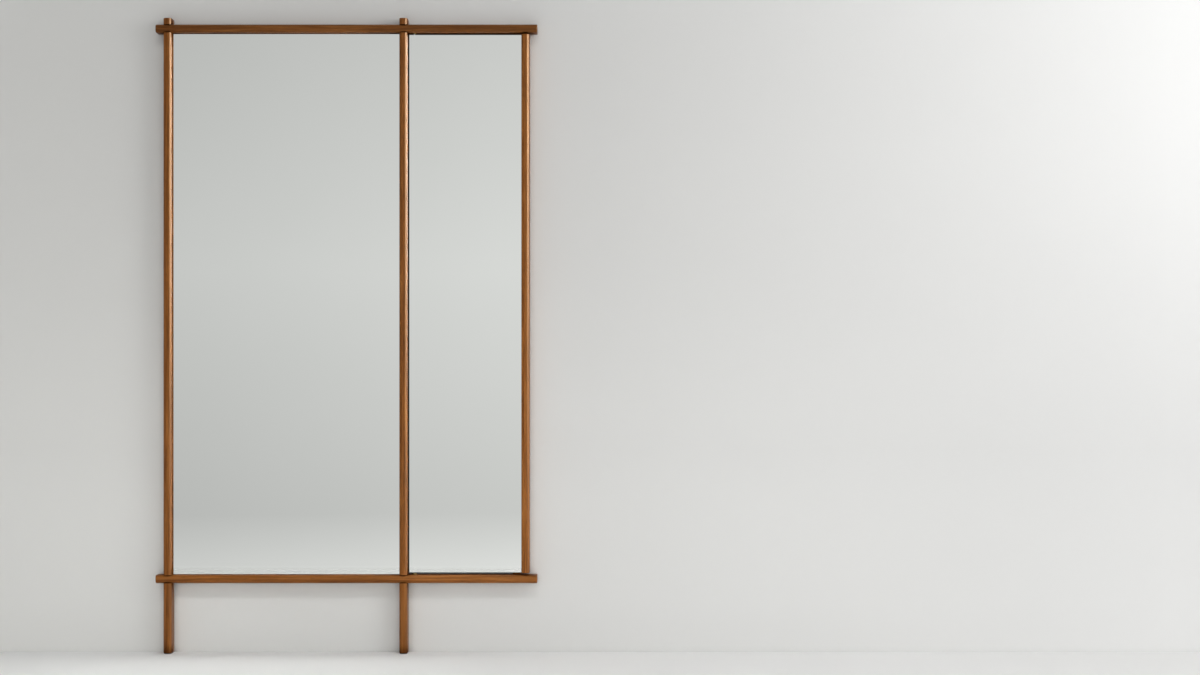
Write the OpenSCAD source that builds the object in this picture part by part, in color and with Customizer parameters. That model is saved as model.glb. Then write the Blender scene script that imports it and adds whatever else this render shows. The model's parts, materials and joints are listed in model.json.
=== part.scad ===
// Standing wall mirror in a bar frame, with one mirrored wing that swings out of the right-hand bay.
// Origin: floor level, centre of the width and of the depth. X right, Y towards the wall, Z up.

/* [Frame] */
// Overall width, over the ends of the rails
frame_w = 1200; // [1100:10:1500]
// Overall height, from the floor to the post tops
frame_h = 2000; // [1800:10:2300]
// Width of every bar, seen from the front
bar_w = 26; // [24:1:32]
// Depth of every bar, from front to back
bar_d = 48; // [48:1:60]
// Radius along the two front edges of a bar
front_round = 10; // [4:0.5:11]
// Radius along the two back edges of a bar
back_round = 3; // [1:0.5:5]
// Chamfer round the sawn ends of a bar
end_chamfer = 2; // [0.5:0.5:3]
// Post length that stands above the top rail
post_stub = 20; // [10:1:60]
// Rail length that stands out past the posts and the wing
rail_overhang = 24; // [12:1:60]
// Height of the bottom rail's underside above the floor
leg_h = 222; // [100:1:400]
// Width of the wing's bay, from the middle post to the wing's outer face
wing_bay_w = 384; // [300:1:450]

/* [Fixed mirror] */
// Distance from the front of the bars back to the mirror's face
mirror_set_back = 22; // [20:0.5:24]
// Thickness of the mirror glass
glass_t = 4; // [3:0.5:5]
// Ground bevel round the front edge of the glass
glass_bevel = 1; // [0.5:0.25:1.5]
// How far the rebate runs behind the visible lip of the bars
rebate_w = 6; // [4:0.5:7]
// Play between the mirror and the walls of its rebate
panel_play = 1; // [0.5:0.25:2]
// Thickness of the board behind the fixed mirror
backing_t = 6; // [4:0.5:8]
// Width of the battens that hold the board
batten_w = 14; // [12:1:20]
// Depth of the battens that hold the board
batten_d = 12; // [10:0.5:13]
// Largest distance between batten screws
batten_pitch = 420; // [250:10:600]

/* [Wing] */
// Gap between the wing and the top rail
wing_top_gap = 4; // [4:0.5:8]
// Gap between the wing and the bottom rail
wing_bottom_gap = 6; // [5:0.5:10]
// Gap between the wing and the middle post
hinge_gap = 3.5; // [3.5:0.5:6]
// Thickness of the wooden frame behind the wing's glass
core_t = 10; // [10:0.5:11]
// Width of the members of that frame
core_w = 30; // [26:1:45]
// Thickness of the wing's back panel
back_panel_t = 5; // [4:0.5:6]
// Depth of the grooves that hold the panel, the tenons and the glass
groove_depth = 6; // [4:0.5:8]

/* [Pivots] */
// Distance from the wing's hinge edge to the pivot axis
pivot_inset = 15.5; // [14:0.5:16]
// Diameter of the pivot pins
pin_d = 6; // [5:0.5:6]
// Length of a pin inside the wing
pin_grip = 40; // [30:1:60]
// Radial clearance of a pin in its bush
pin_clear = 0.05; // [0.02:0.01:0.1]
// Outer diameter of the bushes
bush_d = 10; // [9:0.5:12]
// Length of a bush inside the rail
bush_len = 18; // [12:1:19]
// Diameter of the bush flanges
flange_d = 16; // [14:0.5:18]
// Thickness of the upper bush's flange
upper_flange_t = 1.5; // [1:0.25:2]
// Thickness of the thrust washer under the wing
washer_t = 3; // [2:0.25:3.5]
// Diameter of the upper pin's slotted head
pin_head_d = 11; // [9:0.5:12]
// Thickness of the upper pin's slotted head
pin_head_t = 3; // [2:0.25:4]

/* [Closing] */
// Depth of the slim rear post that the wing closes against
rear_post_d = 10.5; // [8:0.5:11]
// Gap between the rear post and the closed wing's stile
stile_gap = 2; // [2:0.5:5]
// Length of the rear post's tenons
tenon_len = 12; // [8:1:16]
// Diameter of the felt bumpers
bumper_d = 12; // [8:1:16]
// Gap between the felt bumpers and the closed wing
bumper_gap = 0.3; // [0.3:0.1:0.8]
// Diameter of the catch magnets and of their strikes
magnet_d = 10; // [6:1:14]
// Length of the catch magnets
magnet_len = 5; // [3:0.5:6]
// Thickness of the steel strikes
strike_t = 1.5; // [1:0.25:2]
// Distance of the catches from the wing's ends
catch_inset = 260; // [150:10:500]
// Distance of the end bumpers from the wing's ends
bumper_inset = 120; // [60:10:140]

/* [Feet and wall plates] */
// Thickness of the pad under each post
pad_t = 3; // [2:0.5:5]
// How far the pads stay in from the faces of the posts
pad_inset = 1.5; // [1:0.5:4]
// Width of a keyhole plate
plate_w = 15; // [14:0.5:16]
// Height of a keyhole plate
plate_h = 56; // [50:1:80]
// Thickness of a keyhole plate
plate_t = 2; // [1.5:0.25:3]
// Distance from the post tops down to the middle of the keyhole plates
plate_drop = 200; // [180:5:350]
// Diameter of the round part of a keyhole
keyhole_d = 9; // [8:0.5:10]
// Width of the slot part of a keyhole
keyhole_slot = 4.5; // [4:0.25:5]
// Height of the slot above the round part's centre
keyhole_rise = 11; // [9:1:14]
// Depth of the pocket behind a keyhole
keyhole_pocket = 12; // [8:1:16]

/* [Screws] */
// Diameter of the screws through the crossings of the bars
joint_screw_d = 5; // [4:0.5:6]
// Length of the screws through the crossings of the bars
joint_screw_len = 40; // [30:1:44]
// Diameter of the small screws
small_screw_d = 3; // [2.5:0.25:3.5]
// Length of the batten screws
batten_screw_len = 24; // [20:1:26]
// Length of the keyhole plate screws
plate_screw_len = 16; // [10:1:20]

/* [Hidden] */
$fn = 48;

// A cut runs this far past the face that it opens
over = 1;
// Depth of a screw head as a share of its diameter
head_share = 0.3;
// A screw head's diameter over its shank's
head_ratio = 2;
// Width of a driving slot as a share of the shank's diameter, and its depth as a share of the head's
slot_share = 0.24;
slot_sink = 0.4;

// Places in the width
left_post_x = -frame_w / 2 + rail_overhang;
wing_right_x = frame_w / 2 - rail_overhang;
stile_x = wing_right_x - bar_w;
middle_post_x = wing_right_x - wing_bay_w - bar_w;
wing_left_x = middle_post_x + bar_w + hinge_gap;
pivot_x = wing_left_x + pivot_inset;
rear_post_x = stile_x - stile_gap - bar_w;
inner_stile_x = stile_x - core_w;
hinge_stile_right = wing_left_x + core_w;

// Places in the depth
front_y = -bar_d / 2;
back_y = bar_d / 2;
glass_y = front_y + mirror_set_back;
core_y = glass_y + glass_t;
core_back_y = core_y + core_t;
pivot_y = core_y + core_t / 2;
groove_y = pivot_y - back_panel_t / 2;
rear_post_y = back_y - rear_post_d;
lap_y = 0;

// Places in the height
bottom_rail_z = leg_h;
bay_bottom_z = bottom_rail_z + bar_w;
top_rail_z = frame_h - post_stub - bar_w;
wing_z = bay_bottom_z + wing_bottom_gap;
wing_top_z = top_rail_z - wing_top_gap;
wing_h = wing_top_z - wing_z;

// Panel of the fixed mirror and the rebate that it sits in
rebate_left = left_post_x + bar_w - rebate_w;
rebate_right = middle_post_x + rebate_w;
rebate_low = bay_bottom_z - rebate_w;
rebate_high = top_rail_z + rebate_w;
panel_w = rebate_right - rebate_left - 2 * panel_play;
panel_h = rebate_high - rebate_low - 2 * panel_play;
batten_y = core_y + backing_t;

// The lower bush's flange fills the wing's bottom gap, less the washer
lower_flange_t = wing_bottom_gap - washer_t;
head_room = 0.3;
counterbore_d = pin_head_d + 2;

// ---------------------------------------------------------------- shared shapes

// Section of a bar, centred: large radii at the front, small ones at the back
module bar_section(w, d, rf, rb) {
    translate([-w / 2, -d / 2 + rf]) square([w, d - rf - rb]);
    translate([-w / 2 + rf, -d / 2]) square([w - 2 * rf, rf]);
    translate([-w / 2 + rb, d / 2 - rb]) square([w - 2 * rb, rb]);
    for (side = [-1, 1]) {
        translate([side * (w / 2 - rf), -d / 2 + rf]) circle(rf);
        translate([side * (w / 2 - rb), d / 2 - rb]) circle(rb);
    }
}

// Rectangle from the origin with its two low and its two high corners cut off
module end_outline(w, h, c_low, c_high) {
    polygon([[c_low, 0], [w - c_low, 0], [w, c_low], [w, h - c_high],
             [w - c_high, h], [c_high, h], [0, h - c_high], [0, c_low]]);
}

// Upright bar of length h, its corner at the origin, chamfered round both ends
module upright_bar(h, c_low, c_high) {
    intersection() {
        translate([bar_w / 2, bar_d / 2, 0])
            linear_extrude(h) bar_section(bar_w, bar_d, front_round, back_round);
        translate([0, bar_d + over, 0]) rotate([90, 0, 0])
            linear_extrude(bar_d + 2 * over) end_outline(bar_w, h, c_low, c_high);
        translate([-over, 0, 0]) rotate([90, 0, 90])
            linear_extrude(bar_w + 2 * over) end_outline(bar_d, h, c_low, c_high);
    }
}

// Level bar of length w along X, its corner at the origin, front towards -Y
module level_bar(w) {
    translate([0, 0, bar_w]) rotate([0, 90, 0]) upright_bar(w, end_chamfer, end_chamfer);
}

// Glass sheet standing in the XZ plane with a ground bevel round its front face
module bevelled_glass(w, h, bevel) {
    intersection() {
        translate([0, glass_t, 0]) rotate([90, 0, 0]) linear_extrude(glass_t) square([w, h]);
        linear_extrude(h) polygon([[bevel, 0], [w - bevel, 0], [w, bevel], [w, glass_t],
                                   [0, glass_t], [0, bevel]]);
        rotate([90, 0, 90]) linear_extrude(w)
            polygon([[bevel, 0], [glass_t, 0], [glass_t, h], [bevel, h], [0, h - bevel], [0, bevel]]);
    }
}

// Countersunk wood screw along -Z, its head's face at the origin, with a driving slot
module wood_screw(d, len) {
    head_d = d * head_ratio;
    head_h = head_share * head_d;
    difference() {
        rotate_extrude() polygon([[0, 0], [head_d / 2, 0], [d / 2, -head_h], [d / 2, -len + d], [0, -len]]);
        translate([-head_d / 2 - over, -d * slot_share / 2, -head_h * slot_sink])
            cube([head_d + 2 * over, d * slot_share, head_h]);
    }
}

// The hole that such a screw fills
module screw_hole(d, len) {
    head_d = d * head_ratio;
    head_h = head_share * head_d;
    rotate_extrude()
        polygon([[0, over], [head_d / 2, over], [head_d / 2, 0], [d / 2, -head_h], [d / 2, -len + d],
                 [0, -len]]);
}

// ---------------------------------------------------------------- places that repeat

// Centres of the four crossings of a post and a rail
module at_crossings(posts, rails) {
    for (x = posts, z = rails)
        translate([x + bar_w / 2, back_y, z + bar_w / 2]) rotate([-90, 0, 0]) children();
}

module joint_screw_holes() {
    at_crossings([left_post_x, middle_post_x], [bottom_rail_z, top_rail_z])
        screw_hole(joint_screw_d, joint_screw_len);
}

// Even places between two ends, no further apart than the pitch
function spread(a, b, pitch) = let (n = max(1, ceil((b - a) / pitch))) [for (i = [0:n]) a + (b - a) * i / n];

// Battens: screws go outwards through them into the bars
batten_margin = 60;
upright_screw_z = spread(bay_bottom_z + batten_margin, top_rail_z - batten_margin, batten_pitch);
level_screw_x = spread(rebate_left + batten_w + batten_margin, rebate_right - batten_w - batten_margin,
                       batten_pitch);
module at_batten_screws() {
    y = batten_y + batten_d / 2;
    for (z = upright_screw_z) {
        translate([rebate_left + batten_w, y, z]) rotate([0, 90, 0]) children();
        translate([rebate_right - batten_w, y, z]) rotate([0, -90, 0]) children();
    }
    for (x = level_screw_x) {
        translate([x, y, rebate_high - batten_w]) rotate([180, 0, 0]) children();
        translate([x, y, rebate_low + batten_w]) children();
    }
}
module batten_screw_holes() {
    at_batten_screws() screw_hole(small_screw_d, batten_screw_len);
}

// The rebate round the left-hand bay, open at the back
module fixed_rebate() {
    translate([rebate_left, glass_y, rebate_low])
        cube([rebate_right - rebate_left, back_y - glass_y + over, rebate_high - rebate_low]);
}

// Keyhole plates sit on the two posts, on what the rebate leaves of their backs
plate_z = frame_h - plate_drop;
plate_x = [(left_post_x + rebate_left) / 2, (rebate_right + middle_post_x + bar_w) / 2];
plate_screw_rise = plate_h / 2 - 6;
plate_corner = 3;

// Outline of a keyhole plate with rounded corners, standing in XZ, its outer face at y = 0
module plate_block(thickness) {
    rotate([90, 0, 0]) linear_extrude(thickness)
        bar_section(plate_w, plate_h, plate_corner, plate_corner);
}
module at_plate(i) {
    translate([plate_x[i], back_y, plate_z]) children();
}
module plate_recess() {
    pocket_r = keyhole_d / 2;
    translate([0, over, 0]) plate_block(plate_t + over);
    rotate([90, 0, 0]) {
        cylinder(r = pocket_r, h = plate_t + keyhole_pocket);
        translate([0, keyhole_rise, 0]) cylinder(r = pocket_r, h = plate_t + keyhole_pocket);
        translate([-pocket_r, 0, 0]) cube([keyhole_d, keyhole_rise, plate_t + keyhole_pocket]);
    }
    for (side = [-1, 1])
        translate([0, 0, side * plate_screw_rise]) rotate([-90, 0, 0])
            screw_hole(small_screw_d, plate_screw_len);
}

// Places of the felt bumpers and of the catches up the rear post
bumper_z = [wing_z + bumper_inset, (wing_z + wing_top_z) / 2, wing_top_z - bumper_inset];
catch_z = [wing_z + catch_inset, wing_top_z - catch_inset];
catch_x = rear_post_x + bar_w / 2;

// Tenons of the rear post, and the mortises that they fill
tenon_inset = 3;
module rear_post_tenons() {
    for (z = [bay_bottom_z - tenon_len, top_rail_z])
        translate([rear_post_x + tenon_inset, rear_post_y + tenon_inset, z])
            cube([bar_w - 2 * tenon_inset, rear_post_d - 2 * tenon_inset, tenon_len]);
}

// ---------------------------------------------------------------- frame

module post(x) {
    difference() {
        translate([x, front_y, pad_t]) upright_bar(frame_h - pad_t, 0, end_chamfer);
        for (z = [bottom_rail_z, top_rail_z])
            translate([x - over, front_y - over, z]) cube([bar_w + 2 * over, lap_y - front_y + over, bar_w]);
        fixed_rebate();
        joint_screw_holes();
        batten_screw_holes();
        for (i = [0, 1]) at_plate(i) plate_recess();
    }
}

module left_post() {
    color("#8a5a32") post(left_post_x);
}

module middle_post() {
    color("#8a5a32") post(middle_post_x);
}

module rail(z) {
    difference() {
        translate([-frame_w / 2, front_y, z]) level_bar(frame_w);
        for (x = [left_post_x, middle_post_x])
            translate([x, lap_y, z - over]) cube([bar_w, back_y - lap_y + over, bar_w + 2 * over]);
        fixed_rebate();
        joint_screw_holes();
        batten_screw_holes();
        rear_post_tenons();
    }
}

module top_rail() {
    color("#8a5a32") difference() {
        rail(top_rail_z);
        translate([pivot_x, pivot_y, top_rail_z - over]) cylinder(d = bush_d, h = bar_w);
        translate([pivot_x, pivot_y, top_rail_z + bush_len])
            cylinder(d = counterbore_d, h = bar_w - bush_len + over);
    }
}

module bottom_rail() {
    color("#8a5a32") difference() {
        rail(bottom_rail_z);
        translate([pivot_x, pivot_y, bay_bottom_z - bush_len]) cylinder(d = bush_d, h = bush_len + over);
    }
}

module rear_post() {
    color("#7d5029") difference() {
        union() {
            translate([rear_post_x + bar_w / 2, back_y - rear_post_d / 2, bay_bottom_z])
                linear_extrude(top_rail_z - bay_bottom_z)
                    bar_section(bar_w, rear_post_d, back_round, back_round);
            rear_post_tenons();
        }
        for (z = catch_z)
            translate([catch_x, rear_post_y - over, z]) rotate([-90, 0, 0])
                cylinder(d = magnet_d, h = magnet_len + over);
    }
}

module joint_screws() {
    color("#8f8c86") at_crossings([left_post_x, middle_post_x], [bottom_rail_z, top_rail_z])
        wood_screw(joint_screw_d, joint_screw_len);
}

// ---------------------------------------------------------------- fixed mirror

module fixed_mirror_glass() {
    color("#c8cdca") translate([rebate_left + panel_play, glass_y, rebate_low + panel_play])
        bevelled_glass(panel_w, panel_h, glass_bevel);
}

module fixed_backing_board() {
    color("#a58a68") translate([rebate_left + panel_play, core_y, rebate_low + panel_play])
        cube([panel_w, backing_t, panel_h]);
}

module upright_batten(x) {
    color("#8a5a32") difference() {
        translate([x, batten_y, rebate_low]) cube([batten_w, batten_d, rebate_high - rebate_low]);
        batten_screw_holes();
    }
}

module left_batten() {
    upright_batten(rebate_left);
}

module right_batten() {
    upright_batten(rebate_right - batten_w);
}

module level_batten(z) {
    color("#8a5a32") difference() {
        translate([rebate_left + batten_w, batten_y, z])
            cube([rebate_right - rebate_left - 2 * batten_w, batten_d, batten_w]);
        batten_screw_holes();
    }
}

module top_batten() {
    level_batten(rebate_high - batten_w);
}

module bottom_batten() {
    level_batten(rebate_low);
}

module batten_screws() {
    color("#b59b5a") at_batten_screws() wood_screw(small_screw_d, batten_screw_len);
}

// ---------------------------------------------------------------- feet and wall plates

module foot_pad(x) {
    color("#3b2f27") translate([x + bar_w / 2, 0, 0]) linear_extrude(pad_t)
        bar_section(bar_w - 2 * pad_inset, bar_d - 2 * pad_inset,
                    front_round - pad_inset, max(back_round - pad_inset, 0.5));
}

module left_foot_pad() {
    foot_pad(left_post_x);
}

module middle_foot_pad() {
    foot_pad(middle_post_x);
}

module keyhole_plate() {
    difference() {
        plate_block(plate_t);
        rotate([90, 0, 0]) translate([0, 0, -over]) {
            cylinder(d = keyhole_d, h = plate_t + 2 * over);
            translate([0, keyhole_rise, 0]) cylinder(d = keyhole_slot, h = plate_t + 2 * over);
            translate([-keyhole_slot / 2, 0, 0]) cube([keyhole_slot, keyhole_rise, plate_t + 2 * over]);
        }
        for (side = [-1, 1])
            translate([0, 0, side * plate_screw_rise]) rotate([-90, 0, 0])
                screw_hole(small_screw_d, plate_screw_len);
    }
}

module left_keyhole_plate() {
    color("#a9a7a0") at_plate(0) keyhole_plate();
}

module right_keyhole_plate() {
    color("#a9a7a0") at_plate(1) keyhole_plate();
}

module plate_screws() {
    color("#8f8c86") for (i = [0, 1], side = [-1, 1])
        at_plate(i) translate([0, 0, side * plate_screw_rise]) rotate([-90, 0, 0])
            wood_screw(small_screw_d, plate_screw_len);
}

// ---------------------------------------------------------------- bushes, bumpers, catches

// Flanged bush along Z, its flange's face at z = 0 and its body below
module flanged_bush(flange_t) {
    rotate_extrude()
        polygon([[pin_d / 2 + pin_clear, flange_t], [flange_d / 2, flange_t], [flange_d / 2, 0],
                 [bush_d / 2, 0], [bush_d / 2, -bush_len], [pin_d / 2 + pin_clear, -bush_len]]);
}

module upper_pivot_bush() {
    color("#c2a25a") translate([pivot_x, pivot_y, top_rail_z]) mirror([0, 0, 1]) flanged_bush(upper_flange_t);
}

module lower_pivot_bush() {
    color("#c2a25a") translate([pivot_x, pivot_y, bay_bottom_z]) flanged_bush(lower_flange_t);
}

module felt_bumpers() {
    thickness = rear_post_y - core_back_y - bumper_gap;
    color("#4a4038") for (z = bumper_z)
        translate([catch_x, rear_post_y - thickness, z]) rotate([-90, 0, 0])
            cylinder(d = bumper_d, h = thickness);
}

module catch_magnets() {
    color("#8f8c86") for (z = catch_z)
        translate([catch_x, rear_post_y, z]) rotate([-90, 0, 0]) cylinder(d = magnet_d, h = magnet_len);
}

// ---------------------------------------------------------------- wing

module wing_stile() {
    color("#8a5a32") difference() {
        translate([stile_x, front_y, wing_z]) upright_bar(wing_h, end_chamfer, end_chamfer);
        translate([stile_x - over, glass_y, wing_z - over])
            cube([groove_depth + over, core_back_y - glass_y, wing_h + 2 * over]);
    }
}

module wing_mirror_glass() {
    color("#c8cdca") translate([wing_left_x, glass_y, wing_z])
        bevelled_glass(stile_x + groove_depth - wing_left_x, wing_h, glass_bevel);
}

// Groove for the back panel and the tenons, along an upright member's edge
module panel_groove(x) {
    translate([x, groove_y, wing_z - over]) cube([groove_depth, back_panel_t, wing_h + 2 * over]);
}

module wing_hinge_stile() {
    color("#9a6a3e") difference() {
        translate([wing_left_x, core_y, wing_z]) cube([core_w, core_t, wing_h]);
        panel_groove(hinge_stile_right - groove_depth);
        translate([pivot_x, pivot_y, wing_z - over]) cylinder(d = pin_d, h = pin_grip + over);
        translate([pivot_x, pivot_y, wing_top_z - pin_grip]) cylinder(d = pin_d, h = pin_grip + over);
    }
}

module wing_inner_stile() {
    color("#9a6a3e") difference() {
        translate([inner_stile_x, core_y, wing_z]) cube([core_w + groove_depth, core_t, wing_h]);
        panel_groove(inner_stile_x);
        for (z = catch_z)
            translate([catch_x, core_back_y - strike_t, z]) rotate([-90, 0, 0])
                cylinder(d = magnet_d, h = strike_t + over);
    }
}

// Level member between the stiles, with a tenon at each end and a groove along one edge
module core_rail(z, groove_z) {
    color("#9a6a3e") difference() {
        union() {
            translate([hinge_stile_right, core_y, z])
                cube([inner_stile_x - hinge_stile_right, core_t, core_w]);
            translate([hinge_stile_right - groove_depth, groove_y, z])
                cube([inner_stile_x - hinge_stile_right + 2 * groove_depth, back_panel_t, core_w]);
        }
        translate([hinge_stile_right - groove_depth - over, groove_y, groove_z])
            cube([inner_stile_x - hinge_stile_right + 2 * (groove_depth + over), back_panel_t, groove_depth]);
    }
}

module wing_top_rail() {
    core_rail(wing_top_z - core_w, wing_top_z - core_w);
}

module wing_bottom_rail() {
    core_rail(wing_z, wing_z + core_w - groove_depth);
}

module wing_back_panel() {
    play = panel_play / 2;
    reach = groove_depth - play;
    color("#a9845a") translate([hinge_stile_right - reach, groove_y, wing_z + core_w - reach])
        cube([inner_stile_x - hinge_stile_right + 2 * reach, back_panel_t, wing_h - 2 * core_w + 2 * reach]);
}

// ---------------------------------------------------------------- pivots of the wing

// Dropped in from above: the slotted head lies in the top rail's counterbore
module upper_pivot_pin() {
    head_z = top_rail_z + bush_len + head_room;
    slot_w = 1.2;
    color("#a9a7a0") translate([pivot_x, pivot_y, 0]) difference() {
        union() {
            translate([0, 0, wing_top_z - pin_grip])
                cylinder(d = pin_d, h = head_z - wing_top_z + pin_grip);
            translate([0, 0, head_z]) cylinder(d = pin_head_d, h = pin_head_t);
        }
        translate([-pin_head_d, -slot_w / 2, head_z + pin_head_t - slot_w])
            cube([2 * pin_head_d, slot_w, slot_w + over]);
    }
}

module lower_pivot_pin() {
    end_gap = 1;
    color("#a9a7a0") translate([pivot_x, pivot_y, bay_bottom_z - bush_len + end_gap])
        cylinder(d = pin_d, h = wing_z - bay_bottom_z + bush_len - end_gap + pin_grip);
}

module thrust_washer() {
    color("#e4dfd2") translate([pivot_x, pivot_y, wing_z - washer_t]) difference() {
        cylinder(d = bush_d, h = washer_t);
        translate([0, 0, -over]) cylinder(d = pin_d + 2 * pin_clear, h = washer_t + 2 * over);
    }
}

module catch_strikes() {
    color("#a9a7a0") for (z = catch_z)
        translate([catch_x, core_back_y - strike_t, z]) rotate([-90, 0, 0]) cylinder(d = magnet_d, h = strike_t);
}

left_post();
middle_post();
rear_post();
top_rail();
bottom_rail();
fixed_mirror_glass();
fixed_backing_board();
left_batten();
right_batten();
top_batten();
bottom_batten();
batten_screws();
joint_screws();
left_foot_pad();
middle_foot_pad();
left_keyhole_plate();
right_keyhole_plate();
plate_screws();
upper_pivot_bush();
lower_pivot_bush();
felt_bumpers();
catch_magnets();
wing_stile();
wing_mirror_glass();
wing_hinge_stile();
wing_inner_stile();
wing_top_rail();
wing_bottom_rail();
wing_back_panel();
upper_pivot_pin();
lower_pivot_pin();
thrust_washer();
catch_strikes();
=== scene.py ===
import json
import math

import bmesh
import bpy
import numpy as np
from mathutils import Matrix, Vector

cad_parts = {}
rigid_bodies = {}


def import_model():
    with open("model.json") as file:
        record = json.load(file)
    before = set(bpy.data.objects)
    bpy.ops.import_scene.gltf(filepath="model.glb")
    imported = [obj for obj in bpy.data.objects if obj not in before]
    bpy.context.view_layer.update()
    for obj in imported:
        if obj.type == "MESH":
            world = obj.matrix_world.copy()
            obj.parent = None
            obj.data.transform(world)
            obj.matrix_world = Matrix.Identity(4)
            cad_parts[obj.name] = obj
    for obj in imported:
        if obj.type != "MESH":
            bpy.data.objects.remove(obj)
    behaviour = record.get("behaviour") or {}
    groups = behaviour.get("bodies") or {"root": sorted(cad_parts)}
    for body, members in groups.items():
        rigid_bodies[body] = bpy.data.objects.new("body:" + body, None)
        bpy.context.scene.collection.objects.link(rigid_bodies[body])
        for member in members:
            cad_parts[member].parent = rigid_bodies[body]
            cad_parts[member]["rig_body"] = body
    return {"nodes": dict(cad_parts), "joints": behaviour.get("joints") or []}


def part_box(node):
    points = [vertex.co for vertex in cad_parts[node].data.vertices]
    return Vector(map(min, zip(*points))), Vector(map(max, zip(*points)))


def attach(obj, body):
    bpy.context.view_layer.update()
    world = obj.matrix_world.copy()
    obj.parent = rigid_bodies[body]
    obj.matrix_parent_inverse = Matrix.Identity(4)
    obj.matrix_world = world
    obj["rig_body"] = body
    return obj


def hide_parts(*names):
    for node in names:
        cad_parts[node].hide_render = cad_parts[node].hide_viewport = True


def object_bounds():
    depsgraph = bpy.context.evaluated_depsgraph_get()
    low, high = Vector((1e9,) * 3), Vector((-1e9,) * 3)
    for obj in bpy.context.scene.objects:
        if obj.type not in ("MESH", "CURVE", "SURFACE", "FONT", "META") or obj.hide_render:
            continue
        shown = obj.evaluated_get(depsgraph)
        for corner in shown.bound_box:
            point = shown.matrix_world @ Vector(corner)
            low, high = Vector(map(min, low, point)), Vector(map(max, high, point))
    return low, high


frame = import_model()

CAD_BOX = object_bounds()
MM = 0.001

# ---------------------------------------------------------------- camera
# The viewpoint: a long level lens at the height of a seated viewer, well to the right of the
# object, so that the mirror stands in the left half of the picture.

PHOTO_W, PHOTO_H = 1200, 675
FOCAL_PX = 2040
HORIZON_PX = 369
SENSOR_MM = 36
CAMERA_AT = (0.7975, -6.435, 0.896)

camera_data = bpy.data.cameras.new("camera")
camera_data.sensor_width = SENSOR_MM
camera_data.lens = SENSOR_MM * FOCAL_PX / PHOTO_W
camera_data.shift_y = (HORIZON_PX - PHOTO_H / 2) / PHOTO_W
camera = bpy.data.objects.new("camera", camera_data)
camera.location = CAMERA_AT
camera.rotation_euler = (math.radians(90), 0, 0)
bpy.context.scene.collection.objects.link(camera)
bpy.context.scene.camera = camera
bpy.context.scene.view_settings.view_transform = "Standard"

# ---------------------------------------------------------------- left and middle post
# Two long bars of oiled wood, rounded along the front, that stand on the floor. A rail passes
# through a notch in the front of each, near both ends; the fixed mirror's rebate runs up the
# inner back corner, and each crossing is held by a countersunk screw from behind.

POST = {name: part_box(name) for name in ("left_post", "middle_post")}
TOP_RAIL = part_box("top_rail")
BOTTOM_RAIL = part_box("bottom_rail")
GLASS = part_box("fixed_mirror_glass")
BAR_W = POST["left_post"][1].x - POST["left_post"][0].x
BAR_D = POST["left_post"][1].y - POST["left_post"][0].y
BAR_ROUNDS = (10 * MM, 3 * MM)
END_ROUND = 2 * MM
LAP_Y = 0.0
PANEL_PLAY = 1 * MM
REBATE_X = (GLASS[0].x - PANEL_PLAY, GLASS[1].x + PANEL_PLAY)
REBATE_Z = (GLASS[0].z - PANEL_PLAY, GLASS[1].z + PANEL_PLAY)
REBATE_Y = GLASS[0].y
JOINT_SCREW_R = 2.5 * MM
SMALL_SCREW_R = 1.5 * MM
HEAD_RATIO = 2
HEAD_SHARE = 0.3
HOLE_PLAY = 0.15 * MM
FOOT_ROUND = 0.5 * MM
LEAST_ROUND = 0.05 * MM
OVERCUT = 1 * MM  # how far a cutter stands out of the wood
HAIR = 1e-7  # metres, tells the two sides of a cut apart
WELD = 1e-6  # metres, corners closer than this become one
CORNER_STEPS = 10
TIP_STEPS = 5
TURN_STEP_DEG = 10


def bar_section(width, depth, rounds, shelf):
    """Outline of a bar, counter-clockwise, u across and v from front to back: a rectangle whose
    corners are quarter circles, of radius rounds[0] at the front and rounds[1] at the back. The
    point where each side meets the depth v = shelf is there twice, so that a rebate can leave a
    sharp step. Returns the points and a mask of those behind the shelf."""
    w, d = width / 2, depth / 2
    angle = np.radians(np.linspace(0, 90, CORNER_STEPS))

    def corner(u, v, radius, turn):
        a = angle + math.radians(turn)
        return np.stack([u + radius * np.cos(a), v + radius * np.sin(a)], 1)

    front, back = rounds
    behind = np.vstack([[[w, shelf]], corner(w - back, d - back, back, 0),
                        corner(back - w, d - back, back, 90), [[-w, shelf]]])
    before = np.vstack([[[-w, shelf]], corner(front - w, front - d, front, 180),
                        corner(w - front, front - d, front, 270), [[w, shelf]]])
    return np.vstack([behind, before]), np.arange(len(behind) + len(before)) < len(behind)


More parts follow.
